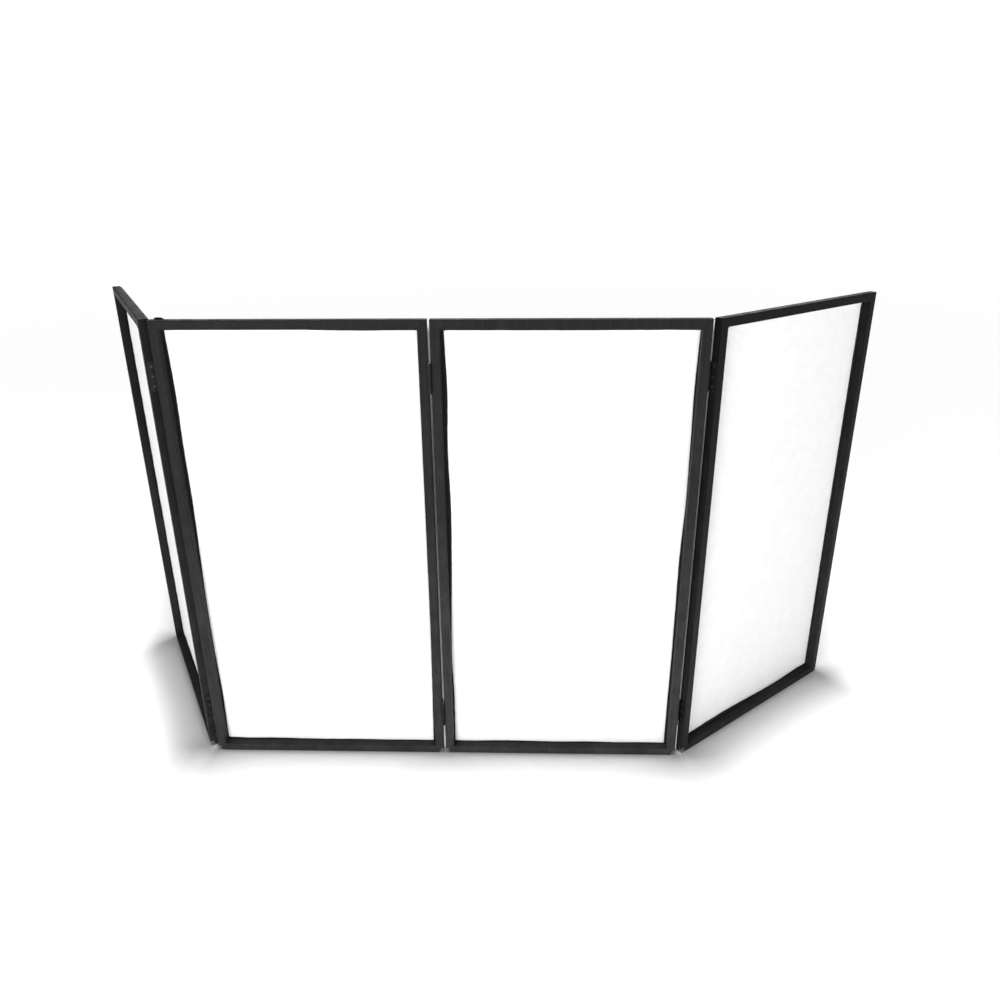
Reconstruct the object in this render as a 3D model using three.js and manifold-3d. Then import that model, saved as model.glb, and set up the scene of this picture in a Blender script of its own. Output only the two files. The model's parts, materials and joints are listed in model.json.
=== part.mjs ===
// Folding screen of four equal panels. Each panel is a mitred frame of square steel tube with a
// stretched cloth held on its back by hook-and-loop tape, and neighbours are joined by butt hinges.
// Millimetres, +Z up. The front faces -Y, and left and right are as seen from the front.
import * as THREE from "three";
import { mergeVertices } from "three/addons/utils/BufferGeometryUtils.js";
import Module from "manifold-3d";

// ---------------------------------------------------------------- driving dimensions

// Panels
const PANEL_WIDTH = 630;
const PANEL_HEIGHT = 1200;
const PANEL_GAP = 6; // between neighbouring stiles when two panels are in line

// Frame tube
const TUBE_FACE = 22; // seen from the front
const TUBE_DEPTH = 22; // front to back
const TUBE_WALL = 1.2;
const TUBE_CORNER = 2; // outer corner radius
const MITRE_GAP = 0.3;

// Butt hinges
const HINGE_LENGTH = 72;
const HINGE_FROM_END = 134; // from the panel's top or bottom edge to the hinge's middle
const KNUCKLE_RADIUS = 4;
const KNUCKLE_COUNT = 5;
const KNUCKLE_GAP = 0.4; // along the pin, between one leaf's knuckle and the next
const AXIS_OFFSET = 4.5; // from the tube's face out to the hinge axis
const LEAF_THICKNESS = 1.6;
const LEAF_DEPTH = 18; // how far the leaf reaches along the stile's side, from the tube's face
const LEAF_CORNER = 3;
const LEAF_SEAT_GAP = 0.3; // between a leaf and the stile that it is screwed to
const PIN_RADIUS = 2;
const PIN_CLEARANCE = 0.3;
const PIN_HEAD_RADIUS = 3.4;
const PIN_HEAD_HEIGHT = 1.6;
const PIN_TIP = 1.2; // how far the pin stands out under the lowest knuckle
const SCREWS_PER_LEAF = 3;
const SCREW_SPACING = 24;
const SCREW_HOLE_RADIUS = 1.9;
const SCREW_HEAD_RADIUS = 3.3; // the hole is countersunk through the leaf's whole thickness
const PILOT_HOLE_RADIUS = 1.6;

// Hook tape, loop band and cloth, layered on the back of the frame
const LAYER_GAP = 0.3;
const TAPE_THICKNESS = 0.8;
const HOOK_TAPE_WIDTH = 17;
const HOOK_TAPE_INSET = 2.5; // from the frame's outer edge
const HOOK_TAPE_END_GAP = 1.5; // between a rail's tape and a stile's tape
const CLOTH_INSET = 3; // from the frame's outer edge to the cloth's edge
const LOOP_BAND_WIDTH = 26;
const CLOTH_THICKNESS = 0.6;

// Folds in the standing pose, in degrees from panels in line
const LEFT_FOLD = 58.5;
const RIGHT_FOLD = 37.5;
const CENTER_FOLD = 0;

// Fineness of round shapes
const CORNER_SEGMENTS = 1; // half the number of flats in a rounded corner
const KNUCKLE_SIDES = 12;
const HOLE_SIDES = 8;

// ---------------------------------------------------------------- finishes

const FINISHES = {
  framePaint: { color: 0x2c2c2d, roughness: 0.5, metalness: 0.1 },
  hingePaint: { color: 0x232324, roughness: 0.45, metalness: 0.2 },
  pinSteel: { color: 0x55565a, roughness: 0.35, metalness: 0.9 },
  hookTape: { color: 0x131314, roughness: 0.95, metalness: 0 },
  loopTape: { color: 0x18181a, roughness: 1, metalness: 0 },
  cloth: { color: 0xf5f5f4, roughness: 0.9, metalness: 0 },
};

function namedMesh(name, geometry, finish) {
  const mesh = new THREE.Mesh(geometry, new THREE.MeshStandardMaterial(FINISHES[finish]));
  mesh.name = name;
  return mesh;
}

// ---------------------------------------------------------------- solid operations

const wasm = await Module();
wasm.setup();

function toSolid(geometry) {
  const bare = geometry.clone();
  bare.deleteAttribute("normal");
  bare.deleteAttribute("uv");
  const merged = mergeVertices(bare, 1e-3);
  return new wasm.Manifold(
    new wasm.Mesh({
      numProp: 3,
      vertProperties: merged.attributes.position.array,
      triVerts: new Uint32Array(merged.index.array),
    }),
  );
}

function toGeometry(solid) {
  const { vertProperties, triVerts } = solid.getMesh();
  const indexed = new THREE.BufferGeometry();
  indexed.setAttribute("position", new THREE.BufferAttribute(vertProperties, 3));
  indexed.setIndex(new THREE.BufferAttribute(triVerts, 1));
  const flat = indexed.toNonIndexed();
  flat.computeVertexNormals();
  return flat;
}

// ---------------------------------------------------------------- basic shapes

function roundedRectangle(x, y, width, height, radius) {
  const shape = new THREE.Shape();
  const right = x + width - radius;
  const top = y + height - radius;
  const quarter = Math.PI / 2;
  shape.absarc(x + radius, y + radius, radius, 2 * quarter, 3 * quarter, false);
  shape.absarc(right, y + radius, radius, 3 * quarter, 4 * quarter, false);
  shape.absarc(right, top, radius, 0, quarter, false);
  shape.absarc(x + radius, top, radius, quarter, 2 * quarter, false);
  shape.closePath();
  return shape;
}

// A box between two corners.
function boxBetween(low, high) {
  const box = new THREE.BoxGeometry(high[0] - low[0], high[1] - low[1], high[2] - low[2]);
  box.translate((low[0] + high[0]) / 2, (low[1] + high[1]) / 2, (low[2] + high[2]) / 2);
  return box;
}

function cylinderAlongZ(radius, zLow, zHigh, sides) {
  const cylinder = new THREE.CylinderGeometry(radius, radius, zHigh - zLow, sides);
  cylinder.rotateX(Math.PI / 2);
  cylinder.translate(0, 0, (zLow + zHigh) / 2);
  return cylinder;
}

// A cylinder or cone along X, from one radius at xLow to another at xHigh.
function coneAlongX(radiusLow, radiusHigh, xLow, xHigh, y, z) {
  const cone = new THREE.CylinderGeometry(radiusLow, radiusHigh, xHigh - xLow, HOLE_SIDES);
  cone.rotateZ(Math.PI / 2);
  cone.translate((xLow + xHigh) / 2, y, z);
  return cone;
}

// Heights of a leaf's screws above the hinge's middle.
function screwHeights() {
  const middle = (SCREWS_PER_LEAF - 1) / 2;
  return Array.from({ length: SCREWS_PER_LEAF }, (_, i) => (i - middle) * SCREW_SPACING);
}

// ---------------------------------------------------------------- frame

const HINGE_HEIGHTS = {
  upper: PANEL_HEIGHT - HINGE_FROM_END,
  lower: HINGE_FROM_END,
};

// A tube with both ends mitred at 45 degrees. Its outer side lies on x = 0 and its longest edge
// runs from z = 0 to z = length; y spans the tube's depth.
function mitredTube(length) {
  const section = roundedRectangle(0, 0, TUBE_FACE, TUBE_DEPTH, TUBE_CORNER);
  const innerFace = TUBE_FACE - 2 * TUBE_WALL;
  const innerDepth = TUBE_DEPTH - 2 * TUBE_WALL;
  const innerCorner = Math.max(TUBE_CORNER - TUBE_WALL, TUBE_WALL / 4);
  section.holes.push(roundedRectangle(TUBE_WALL, TUBE_WALL, innerFace, innerDepth, innerCorner));
  const tube = new THREE.ExtrudeGeometry(section, {
    depth: length,
    bevelEnabled: false,
    curveSegments: CORNER_SEGMENTS,
  });
  const position = tube.attributes.position;
  const halfGap = MITRE_GAP / Math.SQRT2; // the mitre gap's half, measured along the tube
  for (let i = 0; i < position.count; i += 1) {
    const cut = position.getX(i) + halfGap;
    const atFarEnd = position.getZ(i) > length / 2;
    position.setZ(i, atFarEnd ? length - cut : cut);
  }
  tube.computeVertexNormals();
  return tube;
}

// A stile has pilot holes in its outer side for the hinge screws. axisY is the y of the hinge axis
// beside it, or null where no hinge meets it.
function stile(axisY) {
  const tube = mitredTube(PANEL_HEIGHT);
  if (axisY === null) return tube;
  let solid = toSolid(tube);
  const screwY = axisY < 0 ? LEAF_DEPTH / 2 : TUBE_DEPTH - LEAF_DEPTH / 2;
  for (const hingeZ of Object.values(HINGE_HEIGHTS)) {
    for (const screwZ of screwHeights()) {
      const hole = coneAlongX(
        PILOT_HOLE_RADIUS,
        PILOT_HOLE_RADIUS,
        -TUBE_WALL,
        2 * TUBE_WALL,
        screwY,
        hingeZ + screwZ,
      );
      solid = solid.subtract(toSolid(hole));
    }
  }
  return toGeometry(solid);
}

// ---------------------------------------------------------------- hinges

const KNUCKLE_PITCH = HINGE_LENGTH / KNUCKLE_COUNT;

// One leaf with the knuckles whose numbers are given, counted from the bottom. The pin's axis is the
// Z axis, and the plate stands on the +X side of it and reaches out along +Y.
function hingeLeaf(knuckles) {
  const plateX = PANEL_GAP / 2 - LEAF_SEAT_GAP - LEAF_THICKNESS;
  const plateStart = KNUCKLE_RADIUS + KNUCKLE_GAP; // clear of the other leaf's knuckles
  const plateEnd = AXIS_OFFSET + LEAF_DEPTH;
  const outline = roundedRectangle(
    plateStart,
    -HINGE_LENGTH / 2,
    plateEnd - plateStart,
    HINGE_LENGTH,
    LEAF_CORNER,
  );
  const plate = new THREE.ExtrudeGeometry(outline, {
    depth: LEAF_THICKNESS,
    bevelEnabled: false,
    curveSegments: CORNER_SEGMENTS,
  });
  // The outline's plane becomes the YZ plane, and its thickness runs along X.
  const standUp = new THREE.Matrix4().makeBasis(
    new THREE.Vector3(0, 1, 0),
    new THREE.Vector3(0, 0, 1),
    new THREE.Vector3(1, 0, 0),
  );
  plate.applyMatrix4(standUp);
  plate.translate(plateX, 0, 0);

  let solid = toSolid(plate);
  for (const number of knuckles) {
    const low = -HINGE_LENGTH / 2 + number * KNUCKLE_PITCH + KNUCKLE_GAP / 2;
    const high = low + KNUCKLE_PITCH - KNUCKLE_GAP;
    const barrel = cylinderAlongZ(KNUCKLE_RADIUS, low, high, KNUCKLE_SIDES);
    const web = boxBetween([plateX, 0, low], [plateX + LEAF_THICKNESS, plateStart + LEAF_CORNER, high]);
    solid = solid.add(toSolid(barrel)).add(toSolid(web));
  }
  const bore = cylinderAlongZ(PIN_RADIUS + PIN_CLEARANCE, -HINGE_LENGTH, HINGE_LENGTH, KNUCKLE_SIDES);
  solid = solid.subtract(toSolid(bore));

  // The cone runs on at the same slope past both faces of the plate.
  const slope = (SCREW_HEAD_RADIUS - SCREW_HOLE_RADIUS) / LEAF_THICKNESS;
  const overrun = LEAF_THICKNESS / 4;
  for (const screwZ of screwHeights()) {
    const hole = coneAlongX(
      SCREW_HEAD_RADIUS + slope * overrun,
      SCREW_HOLE_RADIUS - slope * overrun,
      plateX - overrun,
      plateX + LEAF_THICKNESS + overrun,
      AXIS_OFFSET + LEAF_DEPTH / 2,
      screwZ,
    );
    solid = solid.subtract(toSolid(hole));
  }
  return toGeometry(solid);
}

// The headed pin, turned about the Z axis.
function hingePin() {
  const top = HINGE_LENGTH / 2;
  const headLow = top + PIN_CLEARANCE;
  const headHigh = headLow + PIN_HEAD_HEIGHT;
  const chamfer = PIN_RADIUS / 4;
  const outline = [
    [0, -top - PIN_TIP],
    [PIN_RADIUS - chamfer, -top - PIN_TIP],
    [PIN_RADIUS, -top - PIN_TIP + chamfer],
    [PIN_RADIUS, headLow],
    [PIN_HEAD_RADIUS, headLow],
    [PIN_HEAD_RADIUS, headHigh - chamfer],
    [PIN_HEAD_RADIUS - 2 * chamfer, headHigh],
    [0, headHigh],
  ];
  const pin = new THREE.LatheGeometry(
    outline.map(([radius, height]) => new THREE.Vector2(radius, height)),
    KNUCKLE_SIDES,
  );
  pin.rotateX(Math.PI / 2);
  return pin;
}

// Where a joint's axis lies in a panel's own frame, by the face that its hinges are on.
const AXIS_Y = { front: -AXIS_OFFSET, back: TUBE_DEPTH + AXIS_OFFSET };

// Turns that bring the leaf, drawn on +X and reaching along +Y, to its side and face.
const LEAF_TURNS = {
  "right front": (leaf) => leaf,
  "right back": (leaf) => leaf.rotateX(Math.PI),
  "left front": (leaf) => leaf.rotateY(Math.PI),
  "left back": (leaf) => leaf.rotateZ(Math.PI),
};

const LEAF_KNUCKLES = { left: [0, 2, 4], right: [1, 3] };

// Adds one side of a joint's hinges to a panel: the left leaves and the pins go with the panel on
// the joint's left, and the right leaves with the panel on its right.
function addHingeHalves(panel, joint, leafSide) {
  const axisX = leafSide === "left" ? PANEL_WIDTH + PANEL_GAP / 2 : -PANEL_GAP / 2;
  for (const [level, height] of Object.entries(HINGE_HEIGHTS)) {
    const hinge = `${joint.name}_${level}_hinge`;
    const turned = LEAF_TURNS[`${leafSide} ${joint.face}`](hingeLeaf(LEAF_KNUCKLES[leafSide]));
    const leaf = namedMesh(`${hinge}_${leafSide}_leaf`, turned, "hingePaint");
    leaf.position.set(axisX, AXIS_Y[joint.face], height);
    panel.add(leaf);
    if (leafSide === "left") {
      const pin = namedMesh(`${hinge}_pin`, hingePin(), "pinSteel");
      pin.position.copy(leaf.position);
      panel.add(pin);
    }
  }
}

// ---------------------------------------------------------------- tape and cloth

const HOOK_TAPE_Y = TUBE_DEPTH + LAYER_GAP;
const LOOP_BAND_Y = HOOK_TAPE_Y + TAPE_THICKNESS + LAYER_GAP;
const CLOTH_Y = LOOP_BAND_Y + TAPE_THICKNESS + LAYER_GAP;

// Four adhesive hook tapes on the back of the frame, the rails' between the stiles'.
function hookTapes() {
  const near = HOOK_TAPE_INSET;
  const far = near + HOOK_TAPE_WIDTH;
  const railStart = far + HOOK_TAPE_END_GAP;
  const spans = {
    left: [near, far, near, PANEL_HEIGHT - near],
    right: [PANEL_WIDTH - far, PANEL_WIDTH - near, near, PANEL_HEIGHT - near],
    bottom: [railStart, PANEL_WIDTH - railStart, near, far],
    top: [railStart, PANEL_WIDTH - railStart, PANEL_HEIGHT - far, PANEL_HEIGHT - near],
  };
  return Object.entries(spans).map(([side, [xLow, xHigh, zLow, zHigh]]) => ({
    side,
    geometry: boxBetween([xLow, HOOK_TAPE_Y, zLow], [xHigh, HOOK_TAPE_Y + TAPE_THICKNESS, zHigh]),
  }));
}

// The loop band sewn round the cloth's margin, which grips the hook tapes.
function loopBand() {
  const outline = new THREE.Shape();
  addRectangle(outline, CLOTH_INSET);
  const opening = new THREE.Path();
  addRectangle(opening, CLOTH_INSET + LOOP_BAND_WIDTH);
  outline.holes.push(opening);
  const band = new THREE.ExtrudeGeometry(outline, { depth: TAPE_THICKNESS, bevelEnabled: false });
  band.rotateX(Math.PI / 2);
  band.translate(0, LOOP_BAND_Y + TAPE_THICKNESS, 0);
  return band;
}

// A rectangle at an even distance inside the panel's outline.
function addRectangle(path, inset) {
  path.moveTo(inset, inset);
  path.lineTo(PANEL_WIDTH - inset, inset);
  path.lineTo(PANEL_WIDTH - inset, PANEL_HEIGHT - inset);
  path.lineTo(inset, PANEL_HEIGHT - inset);
  path.closePath();
}

function cloth() {
  const low = [CLOTH_INSET, CLOTH_Y, CLOTH_INSET];
  const high = [PANEL_WIDTH - CLOTH_INSET, CLOTH_Y + CLOTH_THICKNESS, PANEL_HEIGHT - CLOTH_INSET];
  return boxBetween(low, high);
}

// ---------------------------------------------------------------- panels

const JOINTS = {
  left: { name: "left", face: "back" },
  center: { name: "center", face: "front" },
  right: { name: "right", face: "back" },
};

// One panel in its own frame: x from 0 at its left edge, y from 0 at its front face, z from the
// floor. leftJoint and rightJoint are the joints beside it, or null at the screen's ends.
function makePanel(name, leftJoint, rightJoint) {
  const panel = new THREE.Group();
  const axisBeside = (joint) => (joint ? AXIS_Y[joint.face] : null);

  const leftStile = namedMesh(`${name}_left_stile`, stile(axisBeside(leftJoint)), "framePaint");
  panel.add(leftStile);

  // Turned half round the Z axis, so what is at the front in its own frame comes to the back.
  const rightAxis = axisBeside(rightJoint);
  const turnedAxis = rightAxis === null ? null : TUBE_DEPTH - rightAxis;
  const rightStile = namedMesh(`${name}_right_stile`, stile(turnedAxis), "framePaint");
  rightStile.rotation.z = Math.PI;
  rightStile.position.set(PANEL_WIDTH, TUBE_DEPTH, 0);
  panel.add(rightStile);

  const topRail = namedMesh(`${name}_top_rail`, mitredTube(PANEL_WIDTH), "framePaint");
  topRail.rotation.y = Math.PI / 2;
  topRail.position.set(0, 0, PANEL_HEIGHT);
  panel.add(topRail);

  const bottomRail = namedMesh(`${name}_bottom_rail`, mitredTube(PANEL_WIDTH), "framePaint");
  bottomRail.rotation.y = -Math.PI / 2;
  bottomRail.position.set(PANEL_WIDTH, 0, 0);
  panel.add(bottomRail);

  for (const { side, geometry } of hookTapes()) {
    panel.add(namedMesh(`${name}_${side}_hook_tape`, geometry, "hookTape"));
  }
  panel.add(namedMesh(`${name}_loop_band`, loopBand(), "loopTape"));
  panel.add(namedMesh(`${name}_cloth`, cloth(), "cloth"));

  if (leftJoint) addHingeHalves(panel, leftJoint, "right");
  if (rightJoint) addHingeHalves(panel, rightJoint, "left");
  return panel;
}

// Hangs a panel on a joint's axis and folds it, counter-clockwise as seen from above.
function foldedPanel(panel, axisX, axisY, panelX, foldDegrees) {
  const pivot = new THREE.Group();
  pivot.position.set(axisX, axisY, 0);
  pivot.rotation.z = THREE.MathUtils.degToRad(foldDegrees);
  panel.position.set(panelX - axisX, -axisY, 0);
  pivot.add(panel);
  return pivot;
}

// ---------------------------------------------------------------- the screen

const leftCenter = makePanel("left_center", JOINTS.left, JOINTS.center);
const rightCenter = makePanel("right_center", JOINTS.center, JOINTS.right);
const leftWing = makePanel("left_wing", null, JOINTS.left);
const rightWing = makePanel("right_wing", JOINTS.right, null);

const PANEL_STEP = PANEL_WIDTH + PANEL_GAP; // from one panel's left edge to the next one's, in line

// Each panel's frame starts at its own left edge, so the neighbours stand one step either side.
leftCenter.add(
  foldedPanel(leftWing, -PANEL_GAP / 2, AXIS_Y[JOINTS.left.face], -PANEL_STEP, -LEFT_FOLD),
  foldedPanel(
    rightCenter,
    PANEL_STEP - PANEL_GAP / 2,
    AXIS_Y[JOINTS.center.face],
    PANEL_STEP,
    -CENTER_FOLD,
  ),
);
rightCenter.add(
  foldedPanel(
    rightWing,
    PANEL_STEP - PANEL_GAP / 2,
    AXIS_Y[JOINTS.right.face],
    PANEL_STEP,
    RIGHT_FOLD,
  ),
);

// The origin is under the middle of the standing screen's bounding box, on the floor.
const screen = new THREE.Group();
screen.add(leftCenter);
screen.updateMatrixWorld(true);
const bounds = new THREE.Box3().setFromObject(screen, true);
leftCenter.position.set(
  -(bounds.min.x + bounds.max.x) / 2,
  -(bounds.min.y + bounds.max.y) / 2,
  -bounds.min.z,
);

export default screen;
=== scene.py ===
"""The looks of a four-panel folding screen: black square-tube frames, hinges and white stretched cloths.

Everything is in metres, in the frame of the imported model. Pieces of a panel are made in the panel's own
axes: X along the panel, Y from its front to its back, Z up, from the lower front left corner of its frame.
"""

import json
import math

import bmesh
import bpy
import numpy as np
from mathutils import Matrix, Vector, noise

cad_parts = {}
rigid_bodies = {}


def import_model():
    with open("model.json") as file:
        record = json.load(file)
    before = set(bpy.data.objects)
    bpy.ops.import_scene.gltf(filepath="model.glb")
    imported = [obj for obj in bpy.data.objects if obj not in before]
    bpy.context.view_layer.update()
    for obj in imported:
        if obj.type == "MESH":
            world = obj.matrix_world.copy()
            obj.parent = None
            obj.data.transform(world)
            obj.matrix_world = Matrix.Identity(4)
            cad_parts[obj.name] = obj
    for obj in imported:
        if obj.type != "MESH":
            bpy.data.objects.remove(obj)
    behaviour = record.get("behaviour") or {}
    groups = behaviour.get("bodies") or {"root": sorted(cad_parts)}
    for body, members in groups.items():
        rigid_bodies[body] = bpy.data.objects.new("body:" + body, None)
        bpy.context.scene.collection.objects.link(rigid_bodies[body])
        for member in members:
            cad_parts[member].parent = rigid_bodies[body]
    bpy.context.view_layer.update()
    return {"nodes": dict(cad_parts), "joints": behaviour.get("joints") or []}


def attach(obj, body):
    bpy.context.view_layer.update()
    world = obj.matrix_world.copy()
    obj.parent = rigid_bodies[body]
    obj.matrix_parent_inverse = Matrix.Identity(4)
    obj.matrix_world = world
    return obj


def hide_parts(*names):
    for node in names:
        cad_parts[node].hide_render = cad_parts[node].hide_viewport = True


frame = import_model()

MM = 0.001
PANELS = ("left_wing", "left_center", "right_center", "right_wing")
TUBES = ("left_stile", "right_stile", "top_rail", "bottom_rail")
SIDES = ("left", "right", "top", "bottom")
# Joint: the panel left of it, the panel right of it, and the record's joint.
JOINTS = {
    "left": ("left_wing", "left_center", "left_fold"),
    "center": ("left_center", "right_center", "center_fold"),
    "right": ("right_center", "right_wing", "right_fold"),
}

# Frame tubes
CORNER_RADIUS = 2.0 * MM
TUBE_WALL = 1.2 * MM
CORNER_STEPS = 5

# How light each frame's black coat is. The wings' coat is set darker as painted shade, because the wings
# turn away from the light.
COAT_LEVEL_AND_PAINTED_SHADE = {"left_wing": 0.008, "left_center": 0.010, "right_center": 0.012, "right_wing": 0.007}

# Welds at the mitres
WELD_HALF_WIDTH = 1.6 * MM
WELD_PROUD = 0.22 * MM
WELD_DEPTH = 0.9 * MM
WELD_FILLET = 1.9 * MM
WELD_EDGE_WIDTH = 0.3 * MM
WELD_SUNK = 0.95 * MM
WELD_RIPPLE = 0.08 * MM
WELD_RIPPLE_PITCH = 1.5 * MM
STATIONS_PER_RIPPLE = 3
WELD_SIDES = 8
# Shares of the tube's face: where the bead has come up from its thin outer edge, and where it starts to
# fill the inner corner.
WELD_UP = 0.12
WELD_FILLET_START = 0.86

# Loop band, stitching and cloth
BAND_STATION = 4.0 * MM
BAND_CORNER_GAP = 0.15 * MM
BAND_COLUMNS = 6
BAND_RIPPLE = 0.45 * MM
BAND_RIPPLE_LENGTH = 22 * MM
STITCH_PITCH = 5.0 * MM
STITCH_LENGTH = 3.7 * MM
STITCH_INSET = 3.0 * MM
THREAD_RADIUS = 0.24 * MM
THREAD_SIDES = 5
CLOTH_MARGIN = 62 * MM
FINE_STEP = 3.1 * MM
COARSE_STEP = 7.0 * MM
CLOTH_STEP_DOWN = 0.55 * MM
CLOTH_STEP_RUN = 4 * MM
CLOTH_BEHIND_LOOSE_TAPE = 1.2 * MM
MARGIN_FADE = 2 * MM

# The cloth's folds: a fan out of each corner, gathers along the frame and slack in the middle
FOLDS_START = 14 * MM
FAN_HEIGHT = 0.7 * MM
FAN_START = 50 * MM
FAN_REACH = 90 * MM
FAN_FOLDS_PER_RADIAN = 22
GATHER_HEIGHT = 1.1 * MM
GATHER_LENGTH = 30 * MM
GATHER_REACH = 45 * MM
SLACK_HEIGHT = 0.9 * MM
SLACK_WIDTH = 170 * MM
SLACK_LENGTH = 550 * MM
SLACK_START = 120 * MM
# How far the fans of right and of upper corners are turned on, in radians
FAN_TURNS = (2.1, 3.7)
# Steps through the noise, so that no two panels or kinds of fold look alike
PANEL_NOISE_STEP = 10.0
SLACK_NOISE_STEP = 5

# How far each strip of loop band stands into the frame's opening, in mm, at even places along it: from
# the bottom up on the stiles, and from left to right on the rails. Sewn tape is never quite straight.
BAND_EDGES = {
    "left_wing": {
        "left": (7, 9, 6, 10, 8, 11, 9, 8, 7),
        "right": (6, 4, 2.5, 2, 2, 2, 2.5, 3, 4),
        "top": (6, 7, 6, 6.5, 6),
        "bottom": (5, 7, 3, 5, 4),
    },
    "left_center": {
        "left": (1, 3.5, 0.5, 0, 3, 6, 5.5, 7.5, 4),
        "right": (8, 6, 4, 3, 3, 2, 1.5, 1, 0.5),
        "top": (2.5, 2.5, 2.5, 2.5, 3.5, 5.5, 6.5, 6, 6),
        "bottom": (5, 1.5, 2.5, 1, 0, 1, 0, 0.5, 0),
    },
    "right_center": {
        "left": (3, 4.5, 1.5, 5, 9.5, 11.5, 8.5, 12, 8),
        "right": (5, 5, 4, 4.5, 5, 1, 1.5, 3, 0.5),
        "top": (6, 6.5, 7, 6.5, 6.5),
        "bottom": (1, 0, 2, 1, 0, 1.5, 0, 1, 0),
    },
    "right_wing": {
        "left": (2.5, 3.5, 3, 4, 3),
        "right": (3.5, 4.5, 5.5, 4.5, 3.5),
        "top": (6, 5.5, 5, 4.5, 3.5),
        "bottom": (2.5, 6, 8, 8, 4, 0, 0, 4, 2.5),
    },
}

# One end of the left middle panel's top strip has come off its hooks and stands up over the rail.
LOOSE_END = {"panel": "left_center", "side": "top", "from": 2 * MM, "to": 38 * MM, "rise": 6.2 * MM}
LOOSE_CLIMB = 0.25
LOOSE_FALL = 0.45

# Hook tape
SELVEDGE = 1.6 * MM
SELVEDGE_SHARE = 0.45
HOOK_TAPE_ROUNDING = 0.15 * MM
HOOK_STATION = 12 * MM

# Hinges
KNUCKLES = 5
KNUCKLE_GAP = 0.4 * MM
LEAF_KNUCKLES = {"left": (0, 2, 4), "right": (1, 3)}
LEAF_THICKNESS = 1.6 * MM
LEAF_SEAT_GAP = 0.3 * MM
LEAF_CORNER = 3.0 * MM
LEAF_CORNER_STEPS = 8
LEAF_BEVEL = 0.22 * MM
BEVEL_ANGLE = math.radians(32)
PIN_BORE = 2.3 * MM
PIN_CLEARANCE = 0.3 * MM
PIN_HEAD = 1.6 * MM
PIN_HEAD_EDGE = 0.5 * MM
PIN_HEAD_CHAMFER = 0.12 * MM
PIN_HEAD_FLAT = 0.3
PIN_DOME_STEPS = 7
# The pin's tip: how far each ring is from its end, and the ring's share of the pin's radius
PIN_TIP = ((0.0, 0.55), (0.12 * MM, 0.8), (0.45 * MM, 1.0))
SCREW_SPACING = 24 * MM
SCREWS_PER_LEAF = 3
SCREW_HOLE_RADIUS = 1.9 * MM
COUNTERSINK_RADIUS = 3.3 * MM
COUNTERSINK_SLOPE = (COUNTERSINK_RADIUS - SCREW_HOLE_RADIUS) / LEAF_THICKNESS
SCREW_HEAD_RADIUS = 3.05 * MM
SCREW_HEAD_EDGE = 0.12 * MM
SCREW_HEAD_CHAMFER = 0.2 * MM
SCREW_NECK = 0.3 * MM
SCREW_SUNK = 0.1 * MM
SCREW_LENGTH = 9.5 * MM
SCREW_CORE = 1.2 * MM
SCREW_POINT = 0.3
SCREW_POINT_RINGS = 6
THREAD_HEIGHT = 0.34 * MM
THREAD_PITCH = 1.3 * MM
RINGS_PER_TURN = 8
THREAD_START_RINGS = 4
THREAD_END_RINGS = 8
RECESS_DEPTH = 1.1 * MM
# The cross recess: its arms' length and half width, above the head's face and at its bottom
RECESS_TOP = (2.1 * MM, 0.42 * MM)
RECESS_BOTTOM = (0.7 * MM, 0.26 * MM)
# How far each screw of a leaf was turned, in radians
SCREW_TURNS = (0.4, 1.1, 0.15)
ROUND_SIDES = 40


# -------- places

def node_points(node):
    """The vertices of a CAD node at rest, in the row frame."""
    return np.array([v.co for v in frame["nodes"][node].data.vertices])


class Panel:
    """A panel's own axes and the boxes of its CAD nodes in them."""

    def __init__(self, name):
        self.name = name
        left = node_points(f"{name}_left_hook_tape").mean(0)
        right = node_points(f"{name}_right_hook_tape").mean(0)
        along = Vector(right - left).normalized()
        up = Vector((0, 0, 1))
        turn = Matrix((along, up.cross(along), up)).transposed()
        tubes = np.concatenate([node_points(f"{name}_{tube}") for tube in TUBES])
        origin = turn @ Vector((tubes @ np.array(turn)).min(0))
        self.matrix = Matrix.Translation(origin) @ turn.to_4x4()
        self.inverse = self.matrix.inverted()
        low, high = self.box(*TUBES)
        self.width, self.depth, self.height = high - low
        stile_low, stile_high = self.box("left_stile")
        self.face = stile_high[0] - stile_low[0]
        self.band_outer = self.box("loop_band")[0][0]

    def box(self, *parts):
        """Lowest and highest corner of the panel's CAD nodes with these names, in its own axes."""
        return self.box_of(*[f"{self.name}_{part}" for part in parts])

    def box_of(self, *nodes):
        """Lowest and highest corner of these CAD nodes, in the panel's axes."""
        points = np.concatenate([node_points(node) for node in nodes])
        own = points @ np.array(self.inverse.to_3x3()).T + np.array(self.inverse.translation)
        return own.min(0), own.max(0)


# -------- mesh making

class Shape:
    """Vertices and faces of one or more closed bodies."""

    def __init__(self):
        self.points = []
        self.faces = []

    def loft(self, rings, hoop=False):
        """Joins rings of equal length into one closed body: a bar with flat ends, or a hoop."""
        first, count = len(self.points), len(rings[0])
        for ring in rings:
            self.points.extend(ring)
        for i in range(len(rings) if hoop else len(rings) - 1):
            a = first + i * count
            b = first + (i + 1) % len(rings) * count
            for j in range(count):
                k = (j + 1) % count
                self.faces.append((a + j, a + k, b + k, b + j))
        if not hoop:
            last = first + (len(rings) - 1) * count
            self.faces.append(tuple(first + j for j in reversed(range(count))))
            self.faces.append(tuple(last + j for j in range(count)))

    def mesh(self, name):
        made = bpy.data.meshes.new(name)
        made.from_pydata([tuple(p) for p in self.points], [], self.faces)
        work = bmesh.new()
        work.from_mesh(made)
        bmesh.ops.recalc_face_normals(work, faces=work.faces)
        work.to_mesh(made)
        work.free()
        return made


# Every piece of the screen, for the lamp behind, which lights only them.
SCREEN = bpy.data.collections.new("screen")


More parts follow.
